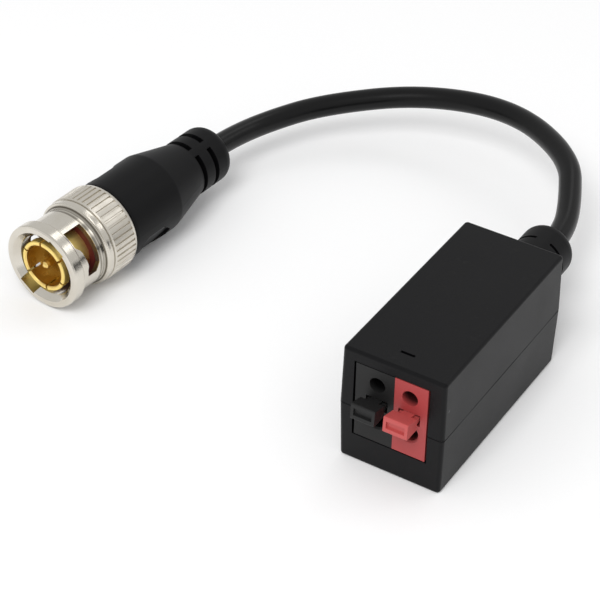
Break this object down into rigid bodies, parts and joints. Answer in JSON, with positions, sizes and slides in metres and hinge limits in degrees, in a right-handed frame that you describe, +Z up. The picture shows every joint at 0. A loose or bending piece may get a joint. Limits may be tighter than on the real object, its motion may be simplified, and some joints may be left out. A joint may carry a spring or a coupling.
{
  "type": "cctv video balun",
  "caption": "Small passive video balun: a slim box with a spring lever terminal, a short coaxial lead and a bayonet plug at its far end.",
  "frame": {"origin": "middle of the box's underside, on the surface that it lies on", "axes": "-Y out of the lever terminal, +Y along the box to its strain relief, +Z up, +X to the side of the red pole"},
  "size_m": [0.0785, 0.0825, 0.0194],
  "materials": {
    "box_plastic": "fine moulded texture, satin",
    "dark_terminal": "satin moulded",
    "red_terminal": "satin moulded",
    "dark_lever": "satin moulded",
    "red_lever": "satin moulded",
    "spring_steel": "stamped spring steel",
    "tinned_copper": "tin plated copper",
    "board": "glass-fibre board, green mask",
    "ferrite": "sintered, matt",
    "enamelled_wire": "enamelled copper",
    "chip_ceramic": "fired ceramic",
    "moulded_rubber": "moulded soft PVC, satin",
    "jacket": "extruded soft PVC, satin",
    "nickel": "bright nickel plate",
    "gold": "gold plate",
    "gasket_rubber": "silicone rubber",
    "insulator_plastic": "moulded white insulator"
  },
  "bodies": {
    "balun": {"upper_shell": "box_plastic", "lower_shell": "box_plastic", "terminal_body_black": "dark_terminal", "terminal_body_red": "red_terminal", "spring_clip_black": "spring_steel", "spring_clip_red": "spring_steel", "thrust_spring": "spring_steel", "retaining_ring": "spring_steel", "contact_bar_black": "tinned_copper", "contact_bar_red": "tinned_copper", "braid_tail": "tinned_copper", "crimp_ferrule": "tinned_copper", "circuit_board": "board", "toroid_core": "ferrite", "winding_line_side": "enamelled_wire", "winding_video_side": "enamelled_wire", "coax_conductor_tail": "enamelled_wire", "chip_resistor": "chip_ceramic", "chip_capacitor": "chip_ceramic", "box_strain_relief": "moulded_rubber", "plug_overmould": "moulded_rubber", "cable_jacket": "jacket", "cable_box_end": "jacket", "cable_plug_end": "jacket", "plug_body": "nickel", "outer_contact": "gold", "centre_pin": "gold", "gasket": "gasket_rubber", "insulator": "insulator_plastic"},
    "nut": {"coupling_nut": "nickel"},
    "dark_lever": {"lever_black": "dark_lever"},
    "red_lever": {"lever_red": "red_lever"}
  },
  "joints": [
    {"name": "nut_turn", "type": "hinge", "parent": "balun", "child": "nut", "pos_m": [-0.0623, -0.00112, 0.00722], "axis": [-0.0872, -0.9962, 0], "continuous": true},
    {"name": "dark_lever_press", "type": "hinge", "parent": "balun", "child": "dark_lever", "pos_m": [0, -0.01172, 0.01185], "axis": [1, 0, 0], "range_deg": [0, 7], "stiffness_Nm_per_rad": 0.02, "springref_deg": -6.88},
    {"name": "red_lever_press", "type": "hinge", "parent": "balun", "child": "red_lever", "pos_m": [0, -0.01172, 0.01185], "axis": [1, 0, 0], "range_deg": [0, 7], "stiffness_Nm_per_rad": 0.02, "springref_deg": -6.88}
  ]
}
